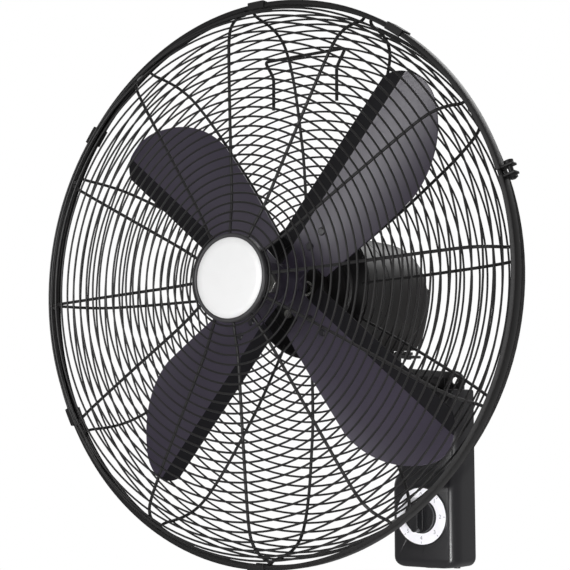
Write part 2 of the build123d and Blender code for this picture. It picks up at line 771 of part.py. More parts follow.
# Crank under the gearbox; its pin works in the slot of the stay on the neck
crank_floor = stay_top + 1.0
with BuildPart() as crank:
    with BuildSketch(level(crank_floor, 0, crank_y)):
        Circle(crank_shaft_radius + 3.5)
        with Locations((0, crank_throw)):
            Circle(crank_pin_radius + 2)
        make_hull()
    extrude(amount=crank_thickness)
    with BuildSketch(level(crank_floor, 0, crank_y)):
        Circle(crank_shaft_radius)
    extrude(amount=box_floor - crank_floor + crank_socket - 2)
    with BuildSketch(level(neck_top - 1.5, 0, crank_y + crank_throw)):
        Circle(crank_pin_radius)
    extrude(amount=crank_floor - neck_top + 2)
keep(crank, "crank")

# ---------------------------------------------------------------- neck
bush_radius = swivel_pin_radius + running_gap + bush_wall
bush_floor = set_screw_height + set_screw_radius + 1.5
pivot_plane = Plane(origin=(0, swivel_y, pivot_height), x_dir=(0, 1, 0), z_dir=(1, 0, 0))
with BuildPart() as tilt_neck:
    with BuildSketch(pivot_plane):
        Circle(neck_lug_radius)
    extrude(amount=neck_width / 2, both=True)
    with BuildSketch(level(pivot_height, 0, swivel_y)):
        Circle(neck_barrel_radius)
    extrude(amount=neck_top - pivot_height)
    with BuildSketch(level(neck_top - neck_flange, 0, swivel_y)):
        Circle(neck_flange_radius)
    extrude(amount=neck_flange)
    with BuildSketch(level(bush_floor, 0, swivel_y)):
        Circle(bush_radius)
    extrude(amount=neck_top - bush_floor, mode=Mode.SUBTRACT)
    with BuildSketch(level(pin_foot - seat_gap, 0, swivel_y)):
        Circle(swivel_pin_radius + seat_gap)
    extrude(amount=bush_floor - pin_foot + seat_gap, mode=Mode.SUBTRACT)
    with BuildSketch(pivot_plane):
        Circle(tilt_bolt_radius + running_gap)
    extrude(amount=neck_width, both=True, mode=Mode.SUBTRACT)
    with BuildSketch(facing(swivel_y, 0, set_screw_height)):
        Circle(set_screw_radius)
    extrude(amount=neck_flange_radius, mode=Mode.SUBTRACT)
    for side in (1, -1):
        with BuildSketch(level(neck_top - neck_flange, side * stay_screw_offset, swivel_y)):
            Circle(stay_screw_radius)
        extrude(amount=neck_flange, mode=Mode.SUBTRACT)
keep(tilt_neck, "tilt_neck")

with BuildPart() as swivel_bush:
    with BuildSketch(level(bush_floor, 0, swivel_y)):
        Circle(bush_radius)
        Circle(swivel_pin_radius + running_gap, mode=Mode.SUBTRACT)
    extrude(amount=neck_top - bush_floor)
keep(swivel_bush, "swivel_bush")

with BuildPart() as swivel_set_screw:
    with BuildSketch(facing(swivel_y - groove_radius - seat_gap, 0, set_screw_height)):
        Circle(set_screw_radius)
    extrude(amount=neck_barrel_radius - groove_radius + 1)
    with BuildSketch(facing(swivel_y - neck_barrel_radius - 0.5, 0, set_screw_height)):
        RegularPolygon(set_screw_radius * 1.8, 6)
    extrude(amount=screw_head_height)
keep(swivel_set_screw, "swivel_set_screw")

pin_reach = crank_offset + crank_throw
slot_half = crank_pin_radius + slot_clearance
slot_start = crank_offset - crank_throw - slot_half
slot_end = pin_reach + slot_half + 1
with BuildPart() as oscillation_stay:
    with BuildSketch(level(neck_top, 0, swivel_y)):
        Circle(neck_flange_radius)
        with Locations((0, slot_end / 2 + 2)):
            Rectangle(2 * stay_half_width, slot_end + 4)
        with Locations((0, slot_end + 3)):
            SlotOverall(2 * stay_half_width + 4, 4)
        Circle(swivel_pin_radius + seat_gap, mode=Mode.SUBTRACT)
        for side in (1, -1):
            with Locations((side * stay_screw_offset, 0)):
                Circle(stay_screw_radius, mode=Mode.SUBTRACT)
        with Locations((0, (slot_start + slot_end) / 2)):
            SlotOverall(slot_end - slot_start, 2 * slot_half, rotation=90, mode=Mode.SUBTRACT)
    extrude(amount=stay_sheet)
keep(oscillation_stay, "oscillation_stay")

with BuildPart() as stay_screws:
    for side in (1, -1):
        with BuildSketch(level(neck_top - neck_flange, side * stay_screw_offset, swivel_y)):
            Circle(stay_screw_radius)
        extrude(amount=neck_flange + stay_sheet)
        with BuildSketch(level(stay_top, side * stay_screw_offset, swivel_y)):
            Circle(stay_screw_radius * 1.8)
        extrude(amount=1.5)
keep(stay_screws, "stay_screws")

# ---------------------------------------------------------------- wall bracket
half_ears = neck_width / 2 + seat_gap
ear_outer = half_ears + ear_thickness
arm_floor = arm_top - arm_thickness
arm_root_half = wall_hole_spacing_x / 2 - wall_hole_radius - 2.5
arm_end_y = swivel_y + ear_radius + 1
half_hole_z = wall_hole_spacing_z / 2
plate_top = box_top - box_wall - 1
plate_bottom = box_bottom + box_wall + 3
tab_depth = 14.0
tab_x = 24.0
tab_height = 7.0
with BuildPart() as wall_bracket:
    # back plate with two lugs above the box
    with BuildSketch(Plane(origin=(0, 0, 0), x_dir=(1, 0, 0), z_dir=(0, -1, 0))):
        with Locations((0, (plate_top + plate_bottom) / 2)):
            RectangleRounded(2 * plate_half_width, plate_top - plate_bottom, 8)
        for side in (1, -1):
            with Locations((side * wall_hole_spacing_x / 2, half_hole_z)):
                Circle(lug_radius)
            with Locations((side * wall_hole_spacing_x / 2, half_hole_z - lug_radius)):
                Rectangle(2 * lug_radius, 2 * lug_radius)
        with Locations((0, (plate_top + arm_floor) / 2)):
            Rectangle(wall_hole_spacing_x, 2 * (arm_top - (plate_top + arm_floor) / 2))
    extrude(amount=plate_thickness)
    # arm out to the neck, tapered in plan, with a rib under it
    with BuildSketch(level(arm_floor)):
        with BuildLine():
            Polyline((-arm_root_half, 0), (arm_root_half, 0), (ear_outer, arm_end_y),
                     (-ear_outer, arm_end_y), close=True)
        make_face()
    extrude(amount=arm_thickness)
    with BuildSketch(Plane.YZ):
        with BuildLine():
            Polyline((0, plate_top), (-plate_thickness - 4, plate_top + 4), (-box_depth - 6, arm_floor),
                     (0, arm_floor), close=True)
        make_face()
    extrude(amount=arm_root_half / 2, both=True)
    # two ears that take the neck between them
    with BuildSketch(pivot_plane):
        Circle(ear_radius)
        with BuildLine():
            Polyline((0, ear_radius), (ear_radius * 2.2, ear_radius),
                     (ear_radius * 2.2, arm_floor - pivot_height), (0, -ear_radius), close=True)
        make_face()
    extrude(amount=ear_outer, both=True)
    with BuildSketch(pivot_plane):
        with Locations((0, 0)):
            Rectangle(2 * (ear_radius + 1), 4 * ear_radius)
    extrude(amount=half_ears, both=True, mode=Mode.SUBTRACT)
    with BuildSketch(pivot_plane):
        Circle(tilt_bolt_radius)
    extrude(amount=2 * ear_outer, both=True, mode=Mode.SUBTRACT)
    # tabs for the screws of the switch box
    for side in (1, -1):
        for tab_z in (plate_bottom - 3, plate_top + 1 - tab_height):
            with BuildSketch(level(tab_z, side * tab_x, -plate_thickness - tab_depth / 2)):
                Rectangle(12, tab_depth)
            extrude(amount=tab_height)
            with BuildSketch(level(tab_z, side * tab_x, -plate_thickness - tab_depth / 2)):
                Circle(2)
            extrude(amount=tab_height, mode=Mode.SUBTRACT)
    with BuildSketch(Plane(origin=(0, 0, 0), x_dir=(1, 0, 0), z_dir=(0, -1, 0))):
        with GridLocations(wall_hole_spacing_x, wall_hole_spacing_z, 2, 2):
            Circle(wall_hole_radius)
    extrude(amount=box_depth, both=True, mode=Mode.SUBTRACT)
keep(wall_bracket, "wall_bracket")

with BuildPart() as tilt_bolt:
    with BuildSketch(pivot_plane.offset(-ear_outer - 8)):
        Circle(tilt_bolt_radius)
    extrude(amount=2 * ear_outer + 8)
    with BuildSketch(pivot_plane.offset(ear_outer)):
        RegularPolygon(6.5, 6, major_radius=False)
    extrude(amount=5.3)
keep(tilt_bolt, "tilt_bolt")
with BuildPart() as tilt_nut:
    with BuildSketch(pivot_plane.offset(-ear_outer)):
        RegularPolygon(6.5, 6, major_radius=False)
        Circle(tilt_bolt_radius, mode=Mode.SUBTRACT)
    extrude(amount=-6.5)
keep(tilt_nut, "tilt_nut")

# ---------------------------------------------------------------- switch box
upper_half = box_half_width - neck_box_inset


def box_solid(inset):
    """The box's form, drawn in by a wall: a deep lower half under a slimmer upper half."""
    with BuildPart() as form:
        with BuildSketch(Plane.YZ):
            with BuildLine():
                Polyline(
                    (0, box_bottom + inset), (-box_depth + inset, box_bottom + inset),
                    (-box_depth + inset, shoulder_front), (0, shoulder_rear), close=True)
            make_face()
        extrude(amount=box_half_width - inset, both=True)
        fillet(form.edges().filter_by(Axis.Y).group_by(Axis.Z)[0], box_corner - inset)
        fillet(form.faces().sort_by(Axis.Y)[0].edges(), box_edge - inset * 0.6)
        with BuildSketch(Plane.YZ):
            with BuildLine():
                Polyline(
                    (0, shoulder_front), (-neck_box_depth + inset, shoulder_front),
                    (-neck_box_depth + inset + 4, box_top - inset), (0, box_top - inset), close=True)
            make_face()
        extrude(amount=upper_half - inset, both=True)
    return form.part


dial_plane = facing(-box_depth, 0, dial_height)
with BuildPart() as switch_box:
    add(box_solid(0))
    add(box_solid(box_wall), mode=Mode.SUBTRACT)
    with BuildSketch(dial_plane):
        Circle(switch_neck_radius)
    extrude(amount=-2 * box_wall, mode=Mode.SUBTRACT)
    # notch that lets the bracket's lugs and arm out at the top
    with BuildSketch(level(box_top - 2 * box_wall, 0, -plate_thickness / 2)):
        Rectangle(wall_hole_spacing_x + 2 * lug_radius + 2 * seat_gap, plate_thickness + 2 * seat_gap)
    extrude(amount=4 * box_wall, mode=Mode.SUBTRACT)
    with BuildSketch(level(box_top - 2 * box_wall, 0, -plate_thickness)):
        Rectangle(arm_root_half + 2 * seat_gap, 2 * plate_thickness + 8)
    extrude(amount=4 * box_wall, mode=Mode.SUBTRACT)
    for side in (1, -1):
        for wall_z in (box_bottom - 1, box_top - box_wall - 1):
            with BuildSketch(level(wall_z, side * tab_x, -plate_thickness - tab_depth / 2)):
                Circle(2)
            extrude(amount=box_wall + 2, mode=Mode.SUBTRACT)
    grommet_y = -box_depth / 2
    with BuildSketch(level(box_bottom - 1, 0, grommet_y)):
        Circle(7)
    extrude(amount=box_wall + 2, mode=Mode.SUBTRACT)
keep(switch_box, "switch_box")

with BuildPart() as box_screws:
    for side in (1, -1):
        for face_z, way in ((box_bottom, 1), (box_top, -1)):
            with BuildSketch(level(face_z, side * tab_x, -plate_thickness - tab_depth / 2)):
                Circle(2)
            extrude(amount=way * (box_wall + tab_height - 1))
            with BuildSketch(level(face_z, side * tab_x, -plate_thickness - tab_depth / 2)):
                Circle(3.8)
            extrude(amount=-way * 2.2)
keep(box_screws, "box_screws")

grommet_axis = Axis((0, grommet_y, 0), (0, 0, 1))
cable_grommet = turned(
    (3.5, box_bottom - 1.5), (9, box_bottom - 1.5), (9, box_bottom), (7, box_bottom),
    (7, box_bottom + box_wall), (9, box_bottom + box_wall), (9, box_bottom + box_wall + 1.5),
    (3.5, box_bottom + box_wall + 1.5),
    axis=grommet_axis, plane=Plane(origin=(0, grommet_y, 0), x_dir=(0, 1, 0), z_dir=(1, 0, 0)))
keep(cable_grommet, "cable_grommet")

with BuildPart() as dial_plate:
    with BuildSketch(dial_plane):
        Circle(dial_radius)
        Circle(dial_bore, mode=Mode.SUBTRACT)
    extrude(amount=dial_thickness)
keep(dial_plate, "dial_plate")

switch_front_y = -box_depth + box_wall
with BuildPart() as rotary_switch:
    with BuildSketch(facing(switch_front_y, 0, dial_height)):
        Rectangle(switch_size, switch_size)
    extrude(amount=-switch_depth)
    chamfer(rotary_switch.edges().filter_by(Axis.Y), 4)
    with BuildSketch(facing(switch_front_y, 0, dial_height)):
        Circle(switch_neck_radius)
    extrude(amount=box_wall + dial_thickness + 1)
    with BuildSketch(facing(switch_front_y, 0, dial_height)):
        Circle(switch_shaft_radius + running_gap)
    extrude(amount=box_depth, both=True, mode=Mode.SUBTRACT)
keep(rotary_switch, "rotary_switch")

knob_back_y = -box_depth - dial_thickness - seat_gap
cavity = dial_thickness + 2.5
with BuildPart() as speed_knob:
    with BuildSketch(facing(knob_back_y, 0, dial_height)):
        Circle(knob_radius)
    extrude(amount=knob_skirt)
    with BuildSketch(facing(knob_back_y - knob_skirt, 0, dial_height)):
        SlotOverall(2 * knob_radius - 3, knob_grip_width, rotation=90)
    extrude(amount=knob_height - knob_skirt)
    with BuildSketch(facing(knob_back_y, 0, dial_height)):
        Circle(switch_neck_radius + 1)
    extrude(amount=cavity, mode=Mode.SUBTRACT)
    with BuildSketch(facing(knob_back_y, 0, dial_height)):
        Circle(switch_shaft_radius)
    extrude(amount=knob_height - 3, mode=Mode.SUBTRACT)
keep(speed_knob, "speed_knob")
with BuildPart() as switch_shaft:
    with BuildSketch(facing(switch_front_y + switch_depth - 3, 0, dial_height)):
        Circle(switch_shaft_radius)
    extrude(amount=switch_front_y + switch_depth - 3 - knob_back_y + knob_height - 3)
keep(switch_shaft, "switch_shaft")

with BuildPart() as run_capacitor:
    with BuildSketch(facing(-plate_thickness, 0, 20)):
        RectangleRounded(46, 26, 3)
    extrude(amount=18)
keep(run_capacitor, "run_capacitor")
with BuildPart() as terminal_block:
    with BuildSketch(facing(-plate_thickness, 0, -22)):
        Rectangle(48, 16)
    extrude(amount=8)
    with BuildSketch(facing(-plate_thickness - 8, 0, -22)):
        Rectangle(48, 8)
        with GridLocations(12, 8, 3, 1):
            Rectangle(2, 8, mode=Mode.SUBTRACT)
    extrude(amount=7)
keep(terminal_block, "terminal_block")
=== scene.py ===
"""Wall mounted fan: wire guard, four painted blades, motor and gearbox, cast bracket, switch box.

Lengths are written in millimetres and turned to metres by MM. A depth runs backwards from the plane
of the guard's rim, and an angle runs anticlockwise as seen from the room, with 0 at the right.
"""
import math

import bmesh
import bpy
from mathutils import Matrix, Vector


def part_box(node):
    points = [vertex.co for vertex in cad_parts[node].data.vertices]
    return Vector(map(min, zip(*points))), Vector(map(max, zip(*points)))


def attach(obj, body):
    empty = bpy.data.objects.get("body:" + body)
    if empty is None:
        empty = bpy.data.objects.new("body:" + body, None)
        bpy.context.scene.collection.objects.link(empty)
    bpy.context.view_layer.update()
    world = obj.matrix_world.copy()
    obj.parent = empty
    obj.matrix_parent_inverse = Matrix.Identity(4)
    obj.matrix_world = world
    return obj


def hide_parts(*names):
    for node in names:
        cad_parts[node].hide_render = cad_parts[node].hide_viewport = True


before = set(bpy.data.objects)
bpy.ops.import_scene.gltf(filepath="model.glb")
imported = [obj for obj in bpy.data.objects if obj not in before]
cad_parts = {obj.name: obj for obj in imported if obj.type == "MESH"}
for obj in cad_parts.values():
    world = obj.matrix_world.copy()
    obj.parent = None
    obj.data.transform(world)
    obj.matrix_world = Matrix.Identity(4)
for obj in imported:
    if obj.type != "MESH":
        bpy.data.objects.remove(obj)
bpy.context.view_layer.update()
MM = 0.001

# ---------------------------------------------------------------- places read from the frame
hoop_low, hoop_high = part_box("guard_hoop")
RIM_Y = (hoop_low.y + hoop_high.y) / 2
AXIS_Z = (hoop_low.z + hoop_high.z) / 2
GUARD_RADIUS = (hoop_high.z - hoop_low.z) / 2 / MM
FAN_CENTRE = Vector((0, RIM_Y, AXIS_Z))
badge_low, badge_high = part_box("badge_cup")
BADGE_RADIUS = (badge_high.x - badge_low.x) / 2 / MM
BADGE_BACK = (badge_high.y - RIM_Y) / MM
BADGE_FRONT = (badge_low.y - RIM_Y) / MM
NOSE_DEPTH = (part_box("rear_guard")[1].y - RIM_Y) / MM
dial_low, dial_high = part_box("dial_plate")
DIAL_FACE = Vector((0, dial_low.y, (dial_low.z + dial_high.z) / 2))
handle_low, handle_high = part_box("carry_handle")
# the floor lies this many metres under the switch box
FLOOR_DROP = 1.1
FLOOR_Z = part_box("switch_box")[0].z - FLOOR_DROP

# ---------------------------------------------------------------- sizes of the guard, mm
SPOKES = 12
FRONT_SPOKE_ANGLE = 3.0
REAR_SPOKE_ANGLE = 2.2
SPOKE_WIRE = 3.2
RING_WIRE = 2.1
RING_PITCH = 9.5
RIM_WIRE = 3.4
HOOP_WIDTH = 13.0
HOOP_SHEET = 1.4
HOOP_LIP = 5.0
HOOP_JOINT_ANGLE = 17.0
HOOP_GAP = 6.0
# the spokes turn outwards this far inside the hoop's lip
MOUTH_INSET = 3.6
MOUTH_RADIUS = GUARD_RADIUS - HOOP_LIP - MOUTH_INSET
# the end wires lie in the hoop's channel with this play
RIM_PLAY = 0.3
RIM_OFFSET = HOOP_WIDTH / 2 - HOOP_SHEET - RIM_WIRE / 2 - RIM_PLAY
RIM_RADIUS = GUARD_RADIUS - HOOP_SHEET - RIM_PLAY - RIM_WIRE / 2
# the badge's seat is a flat ring whose middle is level with the inner ends of the front spokes
SEAT_HALF = 1.8
SEAT_WIDTH = 8.0
FRONT_FACE = BADGE_BACK + SEAT_HALF
FACE_DISH = 6.0
# the rear spokes run this far in front of the back of their centre plate
PLATE_SPOKE_OFFSET = 2.0
REAR_FACE = NOSE_DEPTH - PLATE_SPOKE_OFFSET
PLATE_RADIUS = 72.0
PLATE_BORE = 24.4

# ---------------------------------------------------------------- sizes of the blades and the box, mm
# the blade's lip starts this far behind its arm's line, and leans from it by this many degrees
LIP_OFFSET = 10.9
LIP_RAKE = 5.2
BOX_WALL = 2.5
BOX_CORNER = 11.0
BOX_FOOT_EDGE = 5.0
# the bracket's back plate, which the box's top is cut out for, and the slot for its arm
BRACKET_SHEET = 4.0
BRACKET_HALF = 31.9
ARM_SLOT = 13.9
SHAFT_HOLE = 5.5
GROMMET_HOLE = 7.0
DIAL_PRINT_RADIUS = 32.5
DIAL_PRINT_BORE = 20.0
DIAL_PLATE_BORE = 9.0
NUMERALS = 6
NUMERAL_HEIGHT = 6.5
NUMERAL_TURN = 45.0

# how much of the room's white a gloss gathers: black paint in a white room keeps its depth
GLOSS_SHARE = 0.15


# ---------------------------------------------------------------- small tools
def from_axis(radius, depth):
    """The point at a radius to the right of the fan axis, at a depth behind the rim."""
    return FAN_CENTRE + Vector((radius, depth, 0)) * MM


def joined(bm, name, crease=35.0):
    """Ends a bmesh as an object at the origin: doubles merged, faces outwards, creases sharp."""
    bmesh.ops.remove_doubles(bm, verts=bm.verts, dist=0.002 * MM)
    bmesh.ops.recalc_face_normals(bm, faces=bm.faces)
    for face in bm.faces:
        face.smooth = True
    for edge in bm.edges:
        edge.smooth = len(edge.link_faces) == 2 and edge.calc_face_angle(0) < math.radians(crease)
    mesh = bpy.data.meshes.new(name)
    bm.to_mesh(mesh)
    bm.free()
    piece = bpy.data.objects.new(name, mesh)
    bpy.context.scene.collection.objects.link(piece)
    return piece


def fitted(piece, body, finish, slot, *nodes):
    """Gives a piece its finish, its body and the CAD nodes that it stands for, which it hides. slot is
    not used.
    """
    piece.data.materials.clear()
    piece.data.materials.append(finish)
    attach(piece, body)
    if nodes:
        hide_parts(*nodes)
    return piece


def spun(bm, section, steps=120, sweep=360.0, start=0.0, centre=FAN_CENTRE):
    """Turns a half section of (radius, depth) points round the fan axis or one parallel to it."""
    turn = Matrix.Rotation(math.radians(-start), 4, "Y")
    verts = [bm.verts.new(centre + turn @ Vector((r * MM, d * MM, 0))) for r, d in section]
    face = bm.faces.new(verts)
    whole = sweep == 360.0
    geometry = list(face.edges) + verts if whole else [face, *face.edges, *verts]
    if whole:
        bmesh.ops.delete(bm, geom=[face], context="FACES_ONLY")
    bmesh.ops.spin(
        bm, geom=geometry, cent=centre, axis=(0, -1, 0), angle=math.radians(sweep), steps=steps,
        use_merge=whole)


def rounded(piece, edge, segments=2, above=30.0):
    """Rounds the sharp edges of a piece, as a press, a mould or a coat of paint leaves them."""
    bevel = piece.modifiers.new("rounded edges", "BEVEL")
    bevel.width = edge * MM
    bevel.segments = segments
    bevel.limit_method = "ANGLE"
    bevel.angle_limit = math.radians(above)
    bevel.use_clamp_overlap = False
    return piece


def cad_form(node):
    """A merged copy of a CAD node, with its flat faces made whole."""
    bm = bmesh.new()
    bm.from_mesh(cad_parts[node].data)
    bmesh.ops.remove_doubles(bm, verts=bm.verts, dist=0.005 * MM)
    bmesh.ops.dissolve_limit(bm, angle_limit=math.radians(0.5), verts=bm.verts, edges=bm.edges)
    return bm


def dressed(node, body, finish, slot, edge, segments=2, crease=28.0):
    """A CAD node's form with its edges rounded by that many mm, in its finish."""
    piece = joined(cad_form(node), f"{node}_finished", crease)
    rounded(piece, edge, segments, crease)
    return fitted(piece, body, finish, slot, node)


# ---------------------------------------------------------------- finishes
def linear(hex_colour):
    """An sRGB hex colour as linear light."""
    parts = [int(hex_colour[i:i + 2], 16) / 255 for i in (1, 3, 5)]
    return tuple(p / 12.92 if p <= 0.04045 else ((p + 0.055) / 1.055) ** 2.4 for p in parts) + (1.0,)


def add_node(tree, kind, inputs=None, **settings):
    """Adds a node, sets it up, and links or sets its inputs."""
    node = tree.nodes.new(kind)
    for name, value in settings.items():
        setattr(node, name, value)
    for socket, value in (inputs or {}).items():
        if isinstance(value, bpy.types.NodeSocket):
            tree.links.new(value, node.inputs[socket])
        else:
            node.inputs[socket].default_value = value
    return node


def empty_finish(name):
    """A node material with nothing but its output and the object coordinates."""
    material = bpy.data.materials.new(name)
    material.use_nodes = True
    tree = material.node_tree
    tree.nodes.clear()
    place = add_node(tree, "ShaderNodeTexCoord").outputs["Object"]
    return material, tree, place


def grain(tree, place, size, detail=2.0):
    """A noise whose features are about that many mm across."""
    return add_node(
        tree, "ShaderNodeTexNoise", {"Vector": place, "Scale": 1 / (size * MM), "Detail": detail})


def stoved_enamel(name, light, dark, roughness, peel, cloud, sheen=0.5):
    """Stoved enamel on steel or a casting: a sprayed satin skin over the bare metal's waviness.

    The eye gets a soft wide sheen, broken by orange peel, and a slow drift in tone.
    """
    material, tree, place = empty_finish(name)
    drift = grain(tree, place, cloud)
    tone = add_node(
        tree, "ShaderNodeMix", {0: drift.outputs[0], 6: linear(dark), 7: linear(light)},
        data_type="RGBA")
    skin = grain(tree, place, peel, 3.0)
    gloss = add_node(
        tree, "ShaderNodeMapRange",
        {"Value": skin.outputs[0], "To Min": roughness - 0.06, "To Max": roughness + 0.06})
    relief = add_node(
        tree, "ShaderNodeBump",
        {"Height": skin.outputs[0], "Strength": 0.07, "Distance": 0.04 * MM})
    paint = add_node(tree, "ShaderNodeBsdfPrincipled", {
        "Base Color": tone.outputs[2], "Roughness": gloss.outputs[0], "Normal": relief.outputs[0],
        "IOR": 1.48, "Specular IOR Level": sheen})
    output = add_node(tree, "ShaderNodeOutputMaterial")
    tree.links.new(paint.outputs[0], output.inputs[0])
    return material


def moulded(name, light, dark, roughness, grit, strength):
    """Injection-moulded plastic or rubber: the spark-eroded grain of its mould.

    The eye gets a dull even skin with a fine broken gloss.
    """
    material, tree, place = empty_finish(name)
    skin = grain(tree, place, grit)
    tone = add_node(
        tree, "ShaderNodeMix", {0: skin.outputs[0], 6: linear(dark), 7: linear(light)},
        data_type="RGBA")
    gloss = add_node(
        tree, "ShaderNodeMapRange",
        {"Value": skin.outputs[0], "To Min": roughness - 0.05, "To Max": roughness + 0.05})
    relief = add_node(
        tree, "ShaderNodeBump",
        {"Height": skin.outputs[0], "Strength": strength, "Distance": 0.04 * MM})
    plastic = add_node(tree, "ShaderNodeBsdfPrincipled", {
        "Base Color": tone.outputs[2], "Roughness": gloss.outputs[0], "Normal": relief.outputs[0],
        "IOR": 1.5})
    output = add_node(tree, "ShaderNodeOutputMaterial")
    tree.links.new(plastic.outputs[0], output.inputs[0])
    return material


def plated(name, light, dark, roughness, streak):
    """Plated, turned or drawn metal: fine streaks, streak mm long, across a broken metal gloss."""
    material, tree, place = empty_finish(name)
    stretched = add_node(tree, "ShaderNodeMapping", {
        "Vector": place, "Scale": (1 / (0.25 * MM), 1 / (streak * MM), 1 / (0.25 * MM))})
    lines = add_node(
        tree, "ShaderNodeTexNoise", {"Vector": stretched.outputs[0], "Scale": 1.0, "Detail": 3.0})
    tone = add_node(
        tree, "ShaderNodeMix", {0: lines.outputs[0], 6: linear(dark), 7: linear(light)},
        data_type="RGBA")
    gloss = add_node(
        tree, "ShaderNodeMapRange",
        {"Value": lines.outputs[0], "To Min": roughness - 0.1, "To Max": roughness + 0.1})
    relief = add_node(
        tree, "ShaderNodeBump", {"Height": lines.outputs[0], "Strength": 0.1, "Distance": 0.02 * MM})
    metal = add_node(tree, "ShaderNodeBsdfPrincipled", {
        "Base Color": tone.outputs[2], "Metallic": 1.0, "Roughness": gloss.outputs[0],
        "Normal": relief.outputs[0]})
    output = add_node(tree, "ShaderNodeOutputMaterial")
    tree.links.new(metal.outputs[0], output.inputs[0])
    return material


# Black stoved enamel on drawn wire: thin and glossier than on the castings
WIRE_ENAMEL = stoved_enamel("black_enamel_on_wire", "#1E1D1D", "#161516", 0.42, 0.8, 40.0, 0.4)
HOOP_ENAMEL = stoved_enamel("black_enamel_on_hoop", "#1B1A1A", "#141314", 0.45, 1.0, 50.0, 0.28)
# Violet-grey stoved enamel on pressed aluminium blades: a satin sheen that lightens facing the lamps
BLADE_ENAMEL = stoved_enamel("violet_grey_enamel_on_blades", "#3E3847", "#383240", 0.34, 1.4, 90.0)
# Painted shade: the blade's bent lip gets a darker, duller enamel standing in for the shade along its
# bend, not a second paint on the blade
BLADE_LIP_PAINTED_SHADE = stoved_enamel(
    "blade_lip_painted_shade", "#17161A", "#111013", 0.6, 1.4, 60.0, 0.15)
RIVET_ENAMEL = stoved_enamel("painted_rivet", "#252328", "#1D1B20", 0.38, 0.8, 10.0)
# Black enamel over die-cast and spun motor shells: duller, with the casting's ripple under it
MOTOR_ENAMEL = stoved_enamel("black_enamel_on_motor", "#1B1818", "#131111", 0.46, 1.2, 40.0, 0.33)
CAST_ENAMEL = stoved_enamel("black_enamel_on_casting", "#181718", "#111011", 0.5, 2.0, 25.0)
# Moulded black ABS of the switch box, with a fine spark grain
BOX_ABS = moulded("black_grained_abs", "#161518", "#111013", 0.33, 0.8, 0.12)
# Polished black ABS of the knob
KNOB_ABS = moulded("black_polished_abs", "#18181A", "#121214", 0.24, 2.0, 0.05)
BADGE_RIM_ABS = moulded("grey_black_abs", "#3A393B", "#2E2D2F", 0.4, 1.0, 0.1)
GROMMET_RUBBER = moulded("black_rubber", "#1A1A1A", "#121212", 0.7, 0.6, 0.4)
SWITCH_NYLON = moulded("grey_nylon", "#8E8B81", "#7F7C73", 0.5, 0.8, 0.1)
CAPACITOR_CASE = moulded("black_polyester_case", "#2A2A2E", "#202024", 0.35, 1.5, 0.1)
# White printed face, matt, with a trace of ink drift
DIAL_PRINT = moulded("white_printed_dial", "#F6F5F9", "#F0EFF5", 0.5, 3.0, 0.03)
NUMERAL_INK = moulded("grey_printing_ink", "#8E8C95", "#85838C", 0.55, 1.0, 0.03)
BADGE_WHITE = moulded("white_badge_abs", "#F4F4F4", "#F0F0F0", 0.35, 12.0, 0.03)
# Zinc-plated screws, the ground shaft and sintered bearings
ZINC = plated("bright_zinc_plate", "#C6C5C0", "#A9A8A3", 0.38, 2.0)
BLACK_SCREW = plated("blackened_screw_steel", "#3A393A", "#2A292A", 0.42, 1.0)
SHAFT_STEEL = plated("ground_steel", "#D0CFCC", "#BBBAB6", 0.25, 4.0)
BRONZE = plated("sintered_bronze", "#9A7544", "#7E5C31", 0.5, 0.5)
LAMINATIONS = plated("varnished_laminations", "#77706A", "#5C5550", 0.5, 0.5)


# ---------------------------------------------------------------- guard
def wire_line(bends):
    """The smooth line of a bent wire: a spline of order 3 through the legs between its bends."""
    curve = bpy.data.curves.new("wire line", "CURVE")
    curve.dimensions = "3D"
    spline = curve.splines.new("NURBS")
    spline.points.add(len(bends) - 1)
    for control, bend in zip(spline.points, bends):
        control.co = (*bend, 1)
    spline.order_u = 3
    spline.use_endpoint_u = True
    spline.resolution_u = 8
    return curve


def wire_points(bends):
    """Points along a bent wire's line."""
    holder = bpy.data.objects.new("wire line", wire_line(bends))
    points = [vert.co.copy() for vert in bpy.data.meshes.new_from_object(holder).vertices]
    bpy.data.objects.remove(holder)
    return points


def wire_mesh(bm, bends, wire, sides):
    """Adds a round wire along its bends, with closed ends. sides is 4, 8 or 12."""
    curve = wire_line(bends)
    curve.bevel_depth = wire / 2 * MM
    curve.bevel_resolution = sides // 4
    curve.use_fill_caps = True
    holder = bpy.data.objects.new("wire", curve)
    bm.from_mesh(bpy.data.meshes.new_from_object(holder))
    bpy.data.objects.remove(holder)


def ring_wire(bm, place, wire, sides=8):
    """Adds a ring wire about the fan axis; place is its centre in the half section."""
    ring = bmesh.new()
    bmesh.ops.create_circle(
        ring, segments=sides, radius=wire / 2 * MM, matrix=Matrix.Translation(place))
    radius = (place.x - FAN_CENTRE.x) / MM
    bmesh.ops.spin(
        ring, geom=ring.verts[:] + ring.edges[:], cent=FAN_CENTRE, axis=(0, 1, 0), angle=2 * math.pi,
        steps=int(48 + radius / 3), use_merge=True)
    shape = bpy.data.meshes.new("ring wire")
    ring.to_mesh(shape)
    ring.free()
    bm.from_mesh(shape)
    bpy.data.meshes.remove(shape)


def ring_places(line, first, lift):
    """Centres of the ring wires: a pitch apart along a spoke's line, lifted off it to the outside."""
    places = []
    to_next = first
    for start, end in zip(line, line[1:]):
        run = end - start
        while to_next * MM < run.length:
            along = run.normalized()
            spot = start + along * to_next * MM
            outside = Vector((along.y, -along.x, 0))
            if outside.y * (spot.y - FAN_CENTRE.y) < 0:
                outside = -outside
            places.append(spot + outside * lift * MM)
            to_next += RING_PITCH
        to_next -= run.length / MM
    return places


